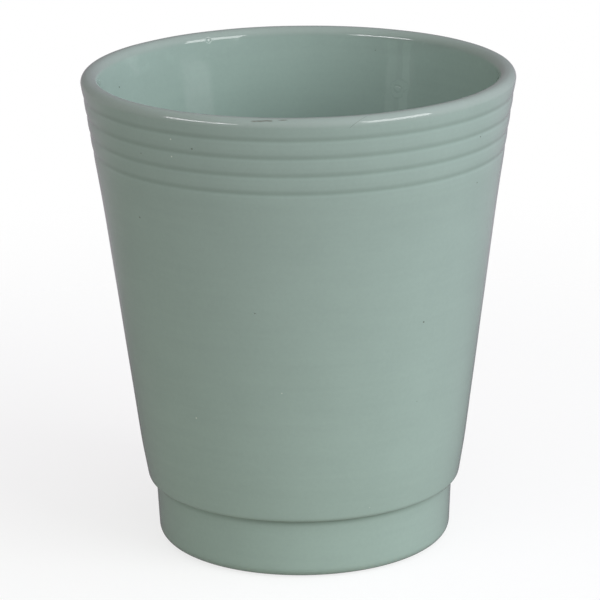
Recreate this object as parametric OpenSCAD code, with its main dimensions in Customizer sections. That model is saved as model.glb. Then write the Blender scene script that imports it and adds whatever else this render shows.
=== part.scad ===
// A brush holder pot: a tapered earthenware pot with four turned grooves under
// its lip and a foot that is set in a little from the body. The clay is glazed
// inside and out, except for the ring that it stands on.
// Millimetres, +Z up. The origin is on the pot's axis, on the surface that it
// stands on. Every section is turned about the axis, and all outside sizes are
// taken over the glaze.

/* [Rim] */
// Outside diameter of the rim, at its widest
rim_d = 130; // [110:1:160]
// Height of the pot, from the surface it stands on to the top of the lip
pot_h = 145.4; // [125:0.1:175]
// Radius of the lip's outer edge
lip_outer_r = 2.2; // [1:0.1:2.6]
// Radius of the lip's inner edge
lip_inner_r = 2.7; // [0.6:0.1:2.8]

/* [Wall] */
// Thickness of the wall, with its glaze
wall_w = 5.2; // [4:0.1:7]
// Lean of the wall from the foot up to the bend, in degrees
wall_lean = 7.26; // [4:0.01:10]
// Lean of the wall from the bend up to the rim, in degrees
rim_lean = 8.62; // [7:0.01:11]
// Lean of the wall where it draws in over the foot, in degrees
tuck_lean = 9.5; // [7.3:0.1:12]
// Height above the foot at which the wall starts to draw in
tuck_rise = 13; // [8:0.5:20]
// Radius that eases the start of the drawing in
tuck_r = 160; // [50:10:250]
// Distance from the root of the lowest groove down to the bend
bend_drop = 17.2; // [14:0.1:30]
// Radius that eases the bend
bend_r = 900; // [300:50:1000]

/* [Grooves] */
// Number of grooves under the lip
groove_count = 4; // [1:1:6]
// Distance from the top of the lip down to the root of the first groove
groove_drop = 6.4; // [6:0.1:8]
// Distance from one groove to the next, measured upright
groove_pitch = 5.39; // [4.6:0.01:7]
// Width of a groove between its two shoulders
groove_w = 2.1; // [1.6:0.1:2.4]
// Depth of a groove under the fullest line of a band, before its root is rounded
groove_depth = 0.22; // [0.2:0.02:0.5]
// Share of that depth that a band falls away before the groove's shoulder
band_share = 0.3; // [0.1:0.05:0.4]
// Radius of a groove's two shoulders
groove_edge_r = 6; // [1:0.5:7]
// Radius of a groove's root
groove_root_r = 1.8; // [0.3:0.1:2]
// Radius of the swell of a band
band_r = 14; // [6:1:16]

/* [Foot] */
// Height of the foot, up to the crease under the body
foot_h = 18.4; // [10:0.1:30]
// Distance that the foot is set in from the body
foot_set_in = 2.1; // [1.5:0.1:5]
// Lean of the foot's side, in degrees
foot_lean = 2.7; // [0:0.1:6]
// Radius of the foot's bottom edge
foot_edge_r = 3.2; // [1:0.1:3.5]
// Rise of the ledge between the foot and the body, in degrees
ledge_rise = 20; // [5:1:35]
// Radius of the body's bottom edge
body_edge_r = 1.8; // [1:0.1:4]
// Radius of the glaze in the crease
crease_r = 0.8; // [0.3:0.1:1]

/* [Underside] */
// Distance from the foot's side in to the bare ring
ring_set_in = 4; // [4:0.1:7]
// Width of the bare ring of clay that the pot stands on
ring_w = 5; // [3:0.1:8]
// Distance that the bare ring stands down from the glaze
ring_drop = 0.25; // [0.25:0.05:1]
// Radius of the ring's two edges
ring_edge_r = 0.2; // [0.1:0.05:0.2]
// Depth of the recess inside the ring
recess_h = 3; // [2:0.1:3.8]
// Rise of the recess from its rim to its middle
recess_rise = 0.5; // [0.2:0.1:1]
// Radius where the recess meets the ring
recess_r = 1; // [0.5:0.1:1.4]

/* [Inside] */
// Thickness of the floor, with its glaze
floor_w = 6; // [4:0.1:9]
// Thickness of the foot at the level of the floor
foot_w = 6.5; // [5:0.1:9]
// Radius between the floor and the wall
floor_r = 12; // [4:0.5:14]
// Height above the foot at which the inside starts to narrow
knee_rise = 14; // [10:0.5:25]
// Radius that eases the start of the narrowing
knee_r = 60; // [20:5:80]

/* [Glaze] */
// Thickness of the glaze
glaze_t = 0.4; // [0.2:0.05:0.6]

/* [Hidden] */
$fn = 180;
arc_step = 6; // degrees that one facet of a rounded corner turns
least_steps = 4; // facets of the slightest bend

// A corner of an outline is [distance from the axis, height, radius]. An
// outline is walked with the solid on its left.
function place(corner) = [corner[0], corner[1]];
function unit(v) = v / norm(v);
function left_of(v) = [-v[1], v[0]];
function turned(v, a) = [v[0] * cos(a) - v[1] * sin(a), v[0] * sin(a) + v[1] * cos(a)];
function leaning(a) = [sin(a), cos(a)];

// Where a corner goes when both its sides move into the solid by t
function sunk(before, corner, after, t) =
    let (n1 = left_of(unit(corner - before)), n2 = left_of(unit(after - corner)))
    corner + (n1 + n2) * t / (1 + n1 * n2);

// An outline sunk by t, with its rounded corners kept concentric
function sunk_outline(path, t) = [
    for (i = [0 : len(path) - 1])
        let (
            here = place(path[i]),
            before = i == 0 ? here * 2 - place(path[1]) : place(path[i - 1]),
            after = i == len(path) - 1 ? here * 2 - before : place(path[i + 1]),
            moved = sunk(before, here, after, t),
            outward = cross(here - before, after - here) > 0
        )
        [moved[0], moved[1], path[i][2] + (outward ? -t : t)]
];

// The points of one rounded corner
function round_corner(before, corner, after, r) =
    let (
        u = unit(before - corner),
        v = unit(after - corner),
        turn = 180 - acos(max(-1, min(1, u * v))),
        side = sign(cross(corner - before, after - corner)),
        middle = corner + unit(u + v) * r / cos(turn / 2),
        start = corner + u * r * tan(turn / 2) - middle,
        steps = max(least_steps, ceil(turn / arc_step))
    )
    [for (k = [0 : steps]) middle + turned(start, side * turn * k / steps)];

// An outline's points, with its corners rounded and its two ends as they are
function rounded(path) = [
    place(path[0]),
    for (i = [1 : len(path) - 2])
        let (
            before = place(path[i - 1]),
            here = place(path[i]),
            after = place(path[i + 1]),
            straight = abs(cross(unit(here - before), unit(after - here))) < 0.0005
        )
        each (straight || path[i][2] <= 0 ? [here] : round_corner(before, here, after, path[i][2])),
    place(path[len(path) - 1])
];

function backwards(list) = [for (i = [len(list) - 1 : -1 : 0]) list[i]];

// The outside wall: its distance from the axis at a height
lip_round = min(lip_outer_r, 0.46 * wall_w);
inner_round = min(
    lip_inner_r,
    0.97 * (wall_w / cos(rim_lean) - lip_round * tan(45 + rim_lean / 2)) / tan(45 - rim_lean / 2)
);
function rim_wall(z) =
    rim_d / 2 - lip_round + lip_round / cos(rim_lean) + (z - pot_h + lip_round) * tan(rim_lean);
lowest_groove = pot_h - groove_drop - (groove_count - 1) * groove_pitch;
bend = [rim_wall(lowest_groove - bend_drop), lowest_groove - bend_drop];
function low_wall(z) = bend[0] + (z - bend[1]) * tan(wall_lean);
bend_turn = abs(rim_lean - wall_lean);
bend_round = min(bend_r, 0.9 * (bend_drop - groove_pitch) / tan(max(bend_turn, 0.1) / 2));

// The foot and the ledge over it
tuck = [low_wall(foot_h + tuck_rise), foot_h + tuck_rise];
tuck_turn = abs(tuck_lean - wall_lean);
tuck_round = min(tuck_r, 0.6 * tuck_rise / tan(max(tuck_turn, 0.1) / 2));
foot_r = tuck[0] - tuck_rise * tan(tuck_lean) - foot_set_in;
foot_base_r = foot_r - (foot_h - ring_drop) * tan(foot_lean);
ledge_l = foot_set_in / (cos(ledge_rise) - sin(ledge_rise) * tan(tuck_lean));
body_edge = [foot_r + ledge_l * cos(ledge_rise), foot_h + ledge_l * sin(ledge_rise)];
body_turn = 90 - tuck_lean - ledge_rise;
crease_turn = 90 - foot_lean - ledge_rise;
body_round = min(body_edge_r, 0.78 * ledge_l / tan(body_turn / 2));
crease_round = min(crease_r, 0.2 * ledge_l / tan(crease_turn / 2));
ring_outer_r = foot_base_r - ring_set_in;
ring_inner_r = ring_outer_r - ring_w;

// The inside
floor_h = recess_h + floor_w;
inner_bend = sunk(bend - leaning(wall_lean), bend, bend + leaning(rim_lean), wall_w);
knee_h = foot_h + knee_rise;
knee = [low_wall(knee_h) - wall_w / cos(wall_lean), knee_h];
inner_lip = rim_wall(pot_h) - wall_w / cos(rim_lean);

// The grooves: each has a root between two shoulders, and a band swells gently
// from one groove's upper shoulder to its fullest line and back to the next
band_rise = 0.48 * groove_pitch / cos(rim_lean);
band_fall = groove_pitch / cos(rim_lean) - band_rise;
groove_side = groove_w / 2;
shoulder_depth = groove_depth * band_share;
side_slope = atan((groove_depth - shoulder_depth) / groove_side);
rise_slope = atan(shoulder_depth / (band_rise - groove_side));
fall_slope = atan(shoulder_depth / (band_fall - groove_side));
root_round = min(groove_root_r, 0.45 * groove_side / tan(side_slope));
edge_round = min(groove_edge_r, 0.45 * groove_side / tan((side_slope - min(rise_slope, fall_slope)) / 2));
band_round = min(band_r, 0.45 * (band_rise - groove_side) / tan((rise_slope + fall_slope) / 2));
function wall_point(z, along, depth) =
    [rim_wall(z), z] + leaning(rim_lean) * along + left_of(leaning(rim_lean)) * depth;
function groove(z) = [
    [each wall_point(z, -band_fall, 0), band_round],
    [each wall_point(z, -groove_side, shoulder_depth), edge_round],
    [each wall_point(z, 0, groove_depth), root_round],
    [each wall_point(z, groove_side, shoulder_depth), edge_round]
];

// The glazed face from the bare ring, up the outside and over the lip, down
// the inside and in to the middle of the floor
skin = [
    [ring_outer_r, ring_drop, 0],
    [foot_base_r, ring_drop, foot_edge_r],
    [foot_r, foot_h, crease_round],
    [each body_edge, body_round],
    [each tuck, tuck_round],
    [each bend, bend_round],
    for (i = [0 : groove_count - 1]) each groove(lowest_groove + i * groove_pitch),
    [each wall_point(pot_h - groove_drop, band_rise, 0), band_round],
    [rim_wall(pot_h), pot_h, lip_round],
    [inner_lip, pot_h, inner_round],
    [each inner_bend, bend_round],
    [each knee, knee_r],
    [foot_base_r - foot_w, floor_h, floor_r],
    [0, floor_h, 0]
];

// The glazed face from the middle of the recess out to the bare ring
recess = [
    [0, recess_h + recess_rise, 0],
    [ring_inner_r - glaze_t, recess_h, recess_r],
    [ring_inner_r - glaze_t, ring_drop, 0]
];

// The bare ring, from its inner side to its outer one
bare_ring = [
    [ring_inner_r, ring_drop, 0],
    [ring_inner_r, 0, ring_edge_r],
    [ring_outer_r, 0, ring_edge_r],
    [ring_outer_r, ring_drop, 0]
];

// The clay's face under the glaze
clay_skin = rounded(sunk_outline(skin, glaze_t));
clay_recess = rounded(sunk_outline(recess, glaze_t));

// The fired clay, in one piece from lip to ring
module clay_body() {
    color([0.87, 0.80, 0.70])
        rotate_extrude()
            polygon(concat(clay_recess, [for (p = rounded(bare_ring)) if (p[1] < ring_drop) p], clay_skin));
}

// The coat of glaze over the inside, the lip and the outside
module glaze_coat() {
    color([0.57, 0.65, 0.61])
        rotate_extrude()
            polygon(concat(rounded(skin), backwards(clay_skin)));
}

// The patch of glaze in the recess, inside the bare ring
module underside_glaze() {
    color([0.50, 0.58, 0.54])
        rotate_extrude()
            polygon(concat(rounded(recess), backwards(clay_recess)));
}

clay_body();
glaze_coat();
underside_glaze();
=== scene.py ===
import math

import bpy
from mathutils import Matrix, Vector


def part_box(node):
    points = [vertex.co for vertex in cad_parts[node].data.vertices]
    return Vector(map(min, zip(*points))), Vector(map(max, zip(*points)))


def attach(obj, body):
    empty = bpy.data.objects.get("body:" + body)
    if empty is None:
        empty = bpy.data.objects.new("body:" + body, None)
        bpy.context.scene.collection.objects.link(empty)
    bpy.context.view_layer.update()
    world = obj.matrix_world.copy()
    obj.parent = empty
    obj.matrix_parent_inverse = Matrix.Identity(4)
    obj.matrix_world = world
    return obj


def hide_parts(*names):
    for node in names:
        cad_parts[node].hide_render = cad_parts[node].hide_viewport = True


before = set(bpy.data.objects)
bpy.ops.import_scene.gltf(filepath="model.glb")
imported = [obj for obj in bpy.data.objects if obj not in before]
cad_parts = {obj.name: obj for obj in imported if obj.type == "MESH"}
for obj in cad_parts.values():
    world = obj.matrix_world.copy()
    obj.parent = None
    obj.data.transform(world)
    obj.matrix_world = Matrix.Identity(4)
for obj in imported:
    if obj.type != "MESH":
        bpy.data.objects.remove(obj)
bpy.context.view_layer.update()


# ---------------------------------------------------------------------------
# The camera. It stands about a metre from the pot, looks down into its mouth,
# and is tipped a little under one degree.

camera_at = (-0.00045, -0.9618, 0.36112)
look_down = 16.65
tip = -0.82

lens = bpy.data.cameras.new("camera")
lens.lens = 197.6
lens.sensor_width = 36
camera = bpy.data.objects.new("camera", lens)
bpy.context.collection.objects.link(camera)
camera.matrix_world = (
    Matrix.Translation(camera_at)
    @ Matrix.Rotation(math.radians(90 - look_down), 4, "X")
    @ Matrix.Rotation(math.radians(tip), 4, "Z")
)
bpy.context.scene.camera = camera
bpy.context.scene.view_settings.view_transform = "Standard"


# ---------------------------------------------------------------------------
# The lamps. Two softboxes stand in front of the pot, one each side, a little
# above it. The right one is taller and does most of the work.

lamp_reach = 1.3
pot_middle = Vector((0, 0, 0.09))


def direction(azimuth, elevation):
    """The way from the pot to something, in degrees round from the front and up."""
    across, up = math.radians(azimuth), math.radians(elevation)
    return Vector((math.sin(across) * math.cos(up), -math.cos(across) * math.cos(up), math.sin(up)))


def softbox(name, azimuth, elevation, size, power):
    """A white area lamp that faces the middle of the pot."""
    lamp = bpy.data.lights.new(name, "AREA")
    lamp.shape = "RECTANGLE"
    lamp.size, lamp.size_y = size
    lamp.energy = power
    rig = bpy.data.objects.new(name, lamp)
    bpy.context.collection.objects.link(rig)
    away = direction(azimuth, elevation)
    rig.location = pot_middle + away * lamp_reach
    rig.rotation_euler = away.to_track_quat("Z", "Y").to_euler()


softbox("right_softbox", 53, 22, (0.83, 0.55), 9.0)
softbox("left_softbox", -52, 20, (0.90, 0.14), 3.0)


# ---------------------------------------------------------------------------
# The surround. It is white where it is seen, mirrored or seen through. It lights
# the pot as a dim room would, with three soft lobes of light: above on the
# right, and at each side.

def lay(recipe, kind, feeds=None, **ways):
    """One node of a finish: how it works, and what feeds each of its inputs."""
    node = recipe.nodes.new(kind)
    for way, choice in ways.items():
        setattr(node, way, choice)
    for socket, feed in (feeds or {}).items():
        if isinstance(feed, bpy.types.NodeSocket):
            recipe.links.new(feed, node.inputs[socket])
        else:
            node.inputs[socket].default_value = feed
    return node


def reckon(recipe, operation, *terms):
    """The result of one sum on numbers or on other nodes' results."""
    return lay(recipe, "ShaderNodeMath", dict(enumerate(terms)), operation=operation).outputs[0]


def ease(recipe, value, start, end, low=0.0, high=1.0):
    """A smooth change from low to high while the value goes from start to end."""
    span = {"Value": value, "From Min": start, "From Max": end, "To Min": low, "To Max": high}
    return lay(recipe, "ShaderNodeMapRange", span, interpolation_type="SMOOTHSTEP").outputs["Result"]


def looked_at(recipe):
    """1 where a camera, glossy or transmission ray arrives, and 0 for the rest."""
    rays = lay(recipe, "ShaderNodeLightPath").outputs
    straight = reckon(recipe, "MAXIMUM", rays["Is Camera Ray"], rays["Is Glossy Ray"])
    return reckon(recipe, "MAXIMUM", straight, rays["Is Transmission Ray"])


surround = bpy.data.worlds.new("surround")
surround.use_nodes = True
surround.node_tree.nodes.clear()
bpy.context.scene.world = surround
air = surround.node_tree
facing = lay(air, "ShaderNodeTexCoord").outputs["Generated"]
room = lay(air, "ShaderNodeBackground", {"Color": (1.4, 1.0, 1.18, 1), "Strength": 0.21}).outputs[0]
lobes = (
    (direction(30, 42), (0.86, 1.10, 1.03, 1)),
    (direction(95, 15), (1.08, 1.11, 1.30, 1)),
    (direction(-95, 15), (0.30, 0.45, 0.30, 1)),
)
for middle, colour in lobes:
    towards = lay(air, "ShaderNodeVectorMath", {0: facing, 1: middle}, operation="DOT_PRODUCT")
    strength = ease(air, towards.outputs["Value"], 0.6, 1.0)
    glow = lay(air, "ShaderNodeBackground", {"Color": colour, "Strength": strength})
    room = lay(air, "ShaderNodeAddShader", {0: room, 1: glow.outputs[0]}).outputs[0]
white = lay(air, "ShaderNodeBackground", {"Color": (1, 1, 1, 1), "Strength": 1.0})
either = lay(air, "ShaderNodeMixShader", {0: looked_at(air), 1: room, 2: white.outputs[0]})
lay(air, "ShaderNodeOutputWorld", {"Surface": either.outputs[0]})


# ---------------------------------------------------------------------------
# The floor: a plain pale sheet that keeps a faint shadow and fades into the
# white surround a short way out. It bounces little light back up at the pot.

shadow_depth = 0.27
bounce_tone = (0.70, 0.67, 0.585, 1)

bpy.ops.object.select_all(action="DESELECT")
bpy.ops.mesh.primitive_circle_add(vertices=96, radius=0.6, fill_type="NGON")
floor = bpy.context.object
floor.name = "floor"
sheet = bpy.data.materials.new("pale_sheet")
sheet.use_nodes = True
sheet.node_tree.nodes.clear()
paper = sheet.node_tree
spot = lay(paper, "ShaderNodeTexCoord").outputs["Object"]
reach = lay(paper, "ShaderNodeVectorMath", {0: spot}, operation="LENGTH")
fade = ease(paper, reach.outputs["Value"], 0.16, 0.42)
seen = looked_at(paper)
tone = lay(
    paper, "ShaderNodeMix",
    {"Factor": seen, 6: bounce_tone, 7: (shadow_depth, shadow_depth, shadow_depth, 1)}, data_type="RGBA",
)
matt = lay(paper, "ShaderNodeBsdfDiffuse", {"Color": tone.outputs[2]})
lift = lay(paper, "ShaderNodeEmission", {"Strength": reckon(paper, "MULTIPLY", seen, 1.0 - shadow_depth)})
matt = lay(paper, "ShaderNodeAddShader", {0: matt.outputs[0], 1: lift.outputs[0]})
clear = lay(paper, "ShaderNodeBsdfTransparent")
sheet_end = lay(paper, "ShaderNodeMixShader", {0: fade, 1: matt.outputs[0], 2: clear.outputs[0]})
lay(paper, "ShaderNodeOutputMaterial", {"Surface": sheet_end.outputs[0]})
floor.data.materials.append(sheet)


# ---------------------------------------------------------------------------
# The studio that the glaze mirrors: a round grey room, paler behind the pot,
# with a grey card on its floor and a strip light on its left. Only mirror rays
# meet it.

room_level, paler_behind, card_level = 0.154, 0.066, 0.168
strip_bearing, strip_height, strip_level = -0.95, 1.03, 7.5

bpy.ops.object.select_all(action="DESELECT")
bpy.ops.mesh.primitive_uv_sphere_add(segments=48, ring_count=24, radius=3)
studio = bpy.context.object
studio.name = "grey_studio"
bpy.ops.object.mode_set(mode="EDIT")
bpy.ops.mesh.bisect(plane_co=(0, 0, 0.0003), plane_no=(0, 0, 1), clear_inner=True, use_fill=True)
bpy.ops.object.mode_set(mode="OBJECT")
walls = bpy.data.materials.new("grey_studio")
walls.use_nodes = True
walls.node_tree.nodes.clear()
paint = walls.node_tree
spot = lay(paint, "ShaderNodeTexCoord").outputs["Object"]
across = lay(paint, "ShaderNodeSeparateXYZ", {0: spot})
behind, height = across.outputs["Y"], across.outputs["Z"]
dome = ease(paint, height, 0.002, 0.06)
card = ease(paint, behind, 0.08, 0.3, 0.0, card_level)
card = reckon(paint, "MULTIPLY", card, reckon(paint, "SUBTRACT", 1.0, dome))
level = reckon(paint, "ADD", card, room_level)
level = reckon(paint, "MULTIPLY_ADD", ease(paint, behind, 0.0, 1.5, 0.0, paler_behind), dome, level)
bearing = reckon(paint, "ARCTAN2", across.outputs["X"], reckon(paint, "MULTIPLY", behind, -1.0))
along = reckon(paint, "ABSOLUTE", reckon(paint, "SUBTRACT", bearing, strip_bearing))
off = reckon(paint, "ABSOLUTE", reckon(paint, "SUBTRACT", height, strip_height))
strip = ease(paint, off, 0.20, 0.14, 0.0, strip_level)
level = reckon(paint, "MULTIPLY_ADD", ease(paint, along, 0.36, 0.30), strip, level)
glow = lay(paint, "ShaderNodeEmission", {"Color": (1.1, 1.0, 1.11, 1), "Strength": level})
lay(paint, "ShaderNodeOutputMaterial", {"Surface": glow.outputs[0]})
studio.data.materials.append(walls)
studio.visible_camera = False
studio.visible_diffuse = False
studio.visible_transmission = False
studio.visible_shadow = False


# ---------------------------------------------------------------------------
# The glaze coat: a sage green glaze, poured over the fired pot inside and out,
# from the bare foot ring up over the lip and down the well. It is an even skin
# that ripples a little, as a poured coat does.

rim_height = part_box("glaze_coat")[1][2]
turn_steps = 176
longest_step = 0.005
ripple = 0.00012
flat_below = 0.006

bpy.ops.object.select_all(action="DESELECT")
glaze = bpy.data.objects.new("glaze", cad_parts["glaze_coat"].data.copy())
bpy.context.collection.objects.link(glaze)
glaze.data.materials.clear()
bpy.context.view_layer.objects.active = glaze
glaze.select_set(True)

# One half of the coat's cross section is cut out and given even steps.
bpy.ops.object.mode_set(mode="EDIT")
bpy.ops.mesh.select_all(action="SELECT")
bpy.ops.mesh.remove_doubles(threshold=1e-6)
bpy.ops.mesh.bisect(
    plane_co=(0, 0, 0), plane_no=(0, 1, 0), clear_inner=True, clear_outer=True, threshold=1e-7,
)
bpy.ops.mesh.select_all(action="SELECT")
bpy.ops.mesh.bisect(plane_co=(0, 0, 0), plane_no=(1, 0, 0), clear_inner=True, threshold=1e-7)
bpy.ops.object.mode_set(mode="OBJECT")
for parts in (16, 8, 4, 2):
    for edge in glaze.data.edges:
        a, b = (glaze.data.vertices[i].co for i in edge.vertices)
        edge.select = (a - b).length > longest_step * parts * 0.75
    if any(edge.select for edge in glaze.data.edges):
        bpy.ops.object.mode_set(mode="EDIT")
        bpy.ops.mesh.select_mode(type="EDGE")
        bpy.ops.mesh.subdivide(number_cuts=parts - 1)
        bpy.ops.mesh.select_all(action="DESELECT")
        bpy.ops.object.mode_set(mode="OBJECT")

# The section is turned round the pot's axis, as on a wheel.
bpy.ops.object.mode_set(mode="EDIT")
bpy.ops.mesh.select_all(action="SELECT")
bpy.ops.mesh.spin(
    steps=turn_steps, angle=math.tau, center=(0, 0, 0), axis=(0, 0, 1), use_auto_merge=True,
)
bpy.ops.mesh.select_all(action="SELECT")
bpy.ops.mesh.remove_doubles(threshold=1e-6)
bpy.ops.mesh.normals_make_consistent(inside=False)
bpy.ops.object.mode_set(mode="OBJECT")
bpy.ops.object.shade_smooth_by_angle(angle=math.radians(40))

# The ripple leaves the foot's edge alone, so that the pot still stands flat.
above_foot = glaze.vertex_groups.new(name="above_foot")
for vertex in glaze.data.vertices:
    above_foot.add([vertex.index], min(1.0, vertex.co.z / flat_below), "REPLACE")
swell = bpy.data.textures.new("poured_swell", "CLOUDS")
swell.noise_scale = 0.018
swell.noise_depth = 1
rippled = glaze.modifiers.new("rippled", "DISPLACE")
rippled.texture = swell
rippled.texture_coords = "LOCAL"
rippled.vertex_group = "above_foot"
rippled.mid_level = 0.5
rippled.strength = ripple
bpy.ops.object.modifier_apply(modifier="rippled")

# The finish. The grooves and a band under the step are painted darker: in the grooves this is partly glaze
# pooling and partly painted shade, and under the step it is painted shade. The glaze thins to grey over the
# lip, carries a few pinholes, specks and marks of wear, and has a painted reflection on the inner back
# wall.
full, thinned, pool_and_shade_tone = (0.277, 0.36, 0.325, 1), (0.300, 0.350, 0.325, 1), (0.215, 0.29, 0.255, 1)
pale, dark = (0.62, 0.66, 0.62, 1), (0.085, 0.09, 0.075, 1)
crack, bared = (0.10, 0.105, 0.085, 1), (0.095, 0.085, 0.06, 1)
sage = bpy.data.materials.new("sage_glaze")
sage.use_nodes = True
coat = sage.node_tree
skin = coat.nodes["Principled BSDF"]
place = lay(coat, "ShaderNodeTexCoord").outputs["Object"]
axes = lay(coat, "ShaderNodeSeparateXYZ", {0: place})
height = axes.outputs["Z"]
level = lay(coat, "ShaderNodeVectorMath", {0: place, 1: (1, 1, 0)}, operation="MULTIPLY")
radius = lay(coat, "ShaderNodeVectorMath", {0: level.outputs[0]}, operation="LENGTH")
radius = radius.outputs["Value"]
turn = reckon(coat, "ARCTAN2", axes.outputs["X"], reckon(coat, "MULTIPLY", axes.outputs["Y"], -1.0))


def cloud(recipe, where, scale, detail=2.0):
    """Soft random patches, from 0 to 1, about 1/scale metres across."""
    return lay(recipe, "ShaderNodeTexNoise", {"Vector": where, "Scale": scale, "Detail": detail}).outputs[0]


def near(recipe, value, middle, half_width, soft):
    """1 within half_width of the middle, and 0 beyond a soft edge."""
    gap = reckon(recipe, "ABSOLUTE", reckon(recipe, "SUBTRACT", value, middle))
    return ease(recipe, gap, half_width + soft, half_width)


def both(recipe, *masks):
    """Where every one of the masks holds."""
    held = masks[0]
    for mask in masks[1:]:
        held = reckon(recipe, "MULTIPLY", held, mask)
    return held


def tint(recipe, under, over, where):
    """A second colour laid over the first where the mask says."""
    return lay(recipe, "ShaderNodeMix", {"Factor": where, 6: under, 7: over}, data_type="RGBA").outputs[2]


def shade(recipe, under, amount):
    """The same colour, multiplied by an amount."""
    return lay(recipe, "ShaderNodeVectorMath", {0: under, "Scale": amount}, operation="SCALE").outputs[0]


# The outer and the inner face, told apart by a cone up the middle of the wall,
# and the soft mottling and the throwing streaks of the whole coat.
wall_slope = 0.1516
outer = reckon(coat, "SUBTRACT", radius, reckon(coat, "MULTIPLY", height, wall_slope))
outer = ease(coat, outer, 0.0402, 0.0412)
inner = reckon(coat, "SUBTRACT", 1.0, outer)
streak_place = lay(coat, "ShaderNodeMapping", {"Vector": place, "Scale": (30, 30, 420)}).outputs[0]
streaks = cloud(coat, streak_place, 1.0)
patches = cloud(coat, place, 70, 3.0)
grain = cloud(coat, place, 900, 2.0)

# Grooves, four of them, and the step above the foot. The grooves' darker colour is partly glaze pooling and
# partly painted shade; the step gets painted shade.
groove_root = rim_height - 0.0064
groove_pitch = 0.00539
groove_middle = groove_root - groove_pitch * 1.5
step_height = 0.0184
from_root = reckon(coat, "SUBTRACT", height, groove_root)
from_root = reckon(coat, "WRAP", from_root, groove_pitch / 2, -groove_pitch / 2)
groove_pool_and_shade = both(
    coat, ease(coat, from_root, -0.0007, 0.0001), ease(coat, from_root, 0.0019, 0.0003),
    near(coat, height, groove_middle, 0.0098, 0.0008), outer,
)
# Painted shade under the step: darkest just below it, fading down the top of the foot.
step_shade = both(
    coat, ease(coat, height, step_height - 0.0019, step_height),
    ease(coat, height, step_height + 0.0010, step_height + 0.0005), ease(coat, radius, 0.040, 0.041),
)

# The lip, where the coat is thin, and the pale flecks just inside it.
lip = reckon(coat, "MULTIPLY_ADD", patches, 0.0006, height)
lip = ease(coat, lip, rim_height - 0.0028, rim_height - 0.0008)
flecks = both(
    coat, inner, near(coat, height, rim_height - 0.0050, 0.0015, 0.0025),
    ease(coat, cloud(coat, place, 240, 2.0), 0.58, 0.72),
)

# Pinholes and pale specks: a small ball in some of the cells of a loose foam.

def scattered(recipe, where, scale, channel, above, size):
    """Small balls in the cells of a foam whose random colour has a channel above a limit."""
    foam = lay(recipe, "ShaderNodeTexVoronoi", {"Vector": where, "Scale": scale})
    draw = lay(recipe, "ShaderNodeSeparateColor", {0: foam.outputs["Color"]}).outputs[channel]
    chosen = reckon(recipe, "GREATER_THAN", draw, above)
    return both(recipe, ease(recipe, foam.outputs["Distance"], size, size * 0.47), chosen)


pinholes = scattered(coat, place, 110, 0, 0.5, 0.034)
specks = scattered(coat, place, 97, 1, 0.72, 0.030)


def ball(recipe, where, bearing, distance, rise, size):
    """1 inside a small ball, given by its turn, its distance from the axis and its height."""
    middle = (distance * math.sin(bearing), -distance * math.cos(bearing), rise)
    gap = lay(recipe, "ShaderNodeVectorMath", {0: where, 1: middle}, operation="DISTANCE")
    return ease(recipe, gap.outputs["Value"], size, size * 0.4)


# A pair of pale specks and two pinholes stand alone on the left of the bands.
specks = reckon(coat, "MAXIMUM", specks, ball(coat, place, -0.607, 0.0641, 0.1374, 0.00032))
specks = reckon(coat, "MAXIMUM", specks, ball(coat, place, -0.614, 0.0633, 0.1321, 0.00032))
pinholes = reckon(coat, "MAXIMUM", pinholes, ball(coat, place, -0.498, 0.0638, 0.1353, 0.00032))
pinholes = reckon(coat, "MAXIMUM", pinholes, ball(coat, place, -0.804, 0.0632, 0.1312, 0.00022))

# A worn line on the crest of the lip, near the front, stained brown by dust.
wander = reckon(coat, "MULTIPLY_ADD", cloud(coat, place, 300, 1.0), 0.0006, 0.0631)
wander = reckon(coat, "MULTIPLY_ADD", turn, -0.00463, wander)
worn = both(
    coat, near(coat, radius, wander, 0.00007, 0.00020), near(coat, turn, -0.131, 0.066, 0.02),
    ease(coat, height, rim_height - 0.0014, rim_height - 0.0010),
    ease(coat, cloud(coat, place, 380, 1.0), 0.30, 0.50),
)

# A hairline that climbs over the lip, a little right of the front.
climb = reckon(coat, "SUBTRACT", height, radius)
bend = reckon(coat, "MULTIPLY_ADD", reckon(coat, "SUBTRACT", climb, 0.0782), 20.5, 0.2325)
hairline = both(
    coat, near(coat, turn, bend, 0.0006, 0.0020), near(coat, climb, 0.0797, 0.0016, 0.0008),
)

# Painted reflection on the inside of the back wall: a lighter band down the wall with a lighter ring and
# eye in it, also raised a little in the relief.
ring_turn, ring_height, reflection_radius = 2.5624, rim_height - 0.0175, 0.0575
sway = reckon(coat, "MULTIPLY_ADD", cloud(coat, place, 160, 1.0), 0.0018, -0.0009)
aside = reckon(coat, "MULTIPLY_ADD", reckon(coat, "SUBTRACT", ring_turn, turn), reflection_radius, sway)
below = reckon(coat, "SUBTRACT", height, ring_height)
reach = reckon(coat, "ADD", reckon(coat, "POWER", aside, 2.0), reckon(coat, "POWER", below, 2.0))
ragged = reckon(coat, "MULTIPLY_ADD", cloud(coat, place, 420, 2.0), 0.0036, -0.0018)
reach = reckon(coat, "ADD", reckon(coat, "SQRT", reach), ragged)
main_reflection_band = near(coat, aside, 0.0019, 0.0012, 0.0006)
side_reflection_band = both(coat, near(coat, aside, -0.0030, 0.0012, 0.0008), 0.6)
reflection_bands = both(
    coat, ease(coat, height, rim_height - 0.0025, rim_height - 0.0037),
    ease(coat, reach, 0.0024, 0.0034), reckon(coat, "MAXIMUM", main_reflection_band, side_reflection_band),
)
ring_outline = near(coat, reach, 0.0020, 0.0003, 0.0007)
ring_eye = near(coat, reach, 0.0003, 0.0003, 0.0005)
reflection_ring = reckon(coat, "MAXIMUM", ring_outline, ring_eye)
reflection_mark = both(coat, inner, reckon(coat, "MAXIMUM", reflection_bands, reflection_ring))

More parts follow.
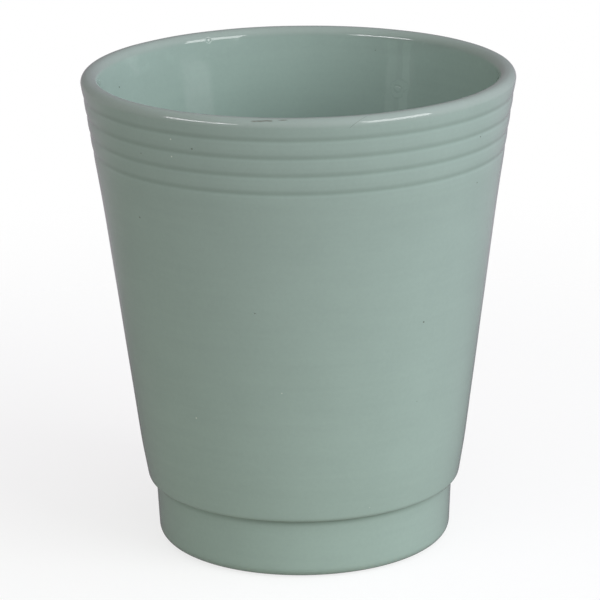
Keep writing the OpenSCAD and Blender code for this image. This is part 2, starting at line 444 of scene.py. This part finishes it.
# All of these make up the colour, the gloss and the relief.
colour = tint(coat, full, thinned, both(coat, lip, 0.75))
# Painted shade, with some glaze pooling in the grooves, and painted shade under the step.
pools_and_shade = reckon(coat, "MAXIMUM", both(coat, groove_pool_and_shade, 0.55), step_shade)
colour = tint(coat, colour, pool_and_shade_tone, pools_and_shade)
# The pale flecks and the painted reflection both lighten the colour.
flecks_and_reflection = reckon(coat, "MULTIPLY_ADD", flecks, 0.5, reflection_mark)
for mark, swing, least in (
    (patches, 0.07, 0.965), (grain, 0.06, 0.97), (streaks, 0.05, 0.975), (flecks_and_reflection, 0.07, 1.0),
):
    colour = shade(coat, colour, reckon(coat, "MULTIPLY_ADD", mark, swing, least))
for mark, paint_over, strength in (
    (specks, pale, 0.8), (pinholes, dark, 0.7), (hairline, crack, 0.45), (worn, bared, 0.65),
):
    colour = tint(coat, colour, paint_over, both(coat, mark, strength))
coat.links.new(colour, skin.inputs["Base Color"])

gloss = reckon(coat, "MULTIPLY_ADD", patches, 0.04, 0.035)
coat.links.new(reckon(coat, "MULTIPLY_ADD", worn, 0.4, gloss), skin.inputs["Roughness"])

dimple_at = (-0.0281, 0.0530, rim_height - 0.0021)
from_dimple = lay(coat, "ShaderNodeVectorMath", {0: place, 1: dimple_at}, operation="DISTANCE")
dimple = near(coat, from_dimple.outputs["Value"], 0.0, 0.0003, 0.0008)
relief = reckon(coat, "MULTIPLY", cloud(coat, place, 520, 1.0), 0.012)
relief = reckon(coat, "MULTIPLY_ADD", streaks, 0.03, relief)
relief = reckon(coat, "MULTIPLY_ADD", reflection_mark, 0.15, relief)
relief = reckon(coat, "SUBTRACT", relief, reckon(coat, "MAXIMUM", pinholes, dimple))
relief = reckon(coat, "SUBTRACT", relief, both(coat, worn, 0.6))
skin_relief = lay(coat, "ShaderNodeBump", {"Strength": 1.0, "Distance": 0.0002, "Height": relief})
coat.links.new(skin_relief.outputs[0], skin.inputs["Normal"])
glaze.data.materials.append(sage)
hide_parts("glaze_coat")
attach(glaze, "root")


# ---------------------------------------------------------------------------
# The body: slip-cast earthenware, fired to a warm off-white biscuit. It shows
# only on the foot ring, which is wiped bare and rubbed smooth to stand on.

biscuit = bpy.data.materials.new("biscuit_clay")
biscuit.use_nodes = True
clay = biscuit.node_tree
skin = clay.nodes["Principled BSDF"]
place = lay(clay, "ShaderNodeTexCoord").outputs["Object"]
warmth = cloud(clay, place, 120, 4.0)
colour = tint(clay, (0.60, 0.53, 0.43, 1), (0.50, 0.42, 0.33, 1), ease(clay, warmth, 0.3, 0.7))
grit = lay(clay, "ShaderNodeTexVoronoi", {"Vector": place, "Scale": 700}).outputs["Distance"]
grit = ease(clay, grit, 0.16, 0.08)
colour = tint(clay, colour, (0.24, 0.18, 0.13, 1), both(clay, grit, 0.6))
clay.links.new(colour, skin.inputs["Base Color"])
clay.links.new(ease(clay, warmth, 0.2, 0.8, 0.82, 0.95), skin.inputs["Roughness"])
sand = cloud(clay, place, 1500, 3.0)
sanded = lay(clay, "ShaderNodeBump", {"Strength": 0.6, "Distance": 0.0001, "Height": sand})
clay.links.new(sanded.outputs[0], skin.inputs["Normal"])
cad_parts["clay_body"].data.materials.clear()
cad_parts["clay_body"].data.materials.append(biscuit)


# ---------------------------------------------------------------------------
# The glaze under the foot: the same glaze, brushed thin into the recess, so it
# is duller, and the brush marks and the body show through.

brushed = bpy.data.materials.new("brushed_glaze")
brushed.use_nodes = True
thin = brushed.node_tree
skin = thin.nodes["Principled BSDF"]
place = lay(thin, "ShaderNodeTexCoord").outputs["Object"]
brushing = lay(thin, "ShaderNodeMapping", {"Vector": place, "Scale": (60, 420, 60)}).outputs[0]
marks = cloud(thin, brushing, 1.0, 3.0)
colour = tint(thin, (0.30, 0.37, 0.33, 1), (0.37, 0.40, 0.33, 1), ease(thin, marks, 0.42, 0.68))
mottle = ease(thin, cloud(thin, place, 150, 3.0), 0.2, 0.8, 0.92, 1.05)
thin.links.new(shade(thin, colour, mottle), skin.inputs["Base Color"])
thin.links.new(ease(thin, marks, 0.3, 0.7, 0.24, 0.38), skin.inputs["Roughness"])
strokes = lay(thin, "ShaderNodeBump", {"Strength": 0.7, "Distance": 0.0002, "Height": marks})
thin.links.new(strokes.outputs[0], skin.inputs["Normal"])
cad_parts["underside_glaze"].data.materials.clear()
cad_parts["underside_glaze"].data.materials.append(brushed)
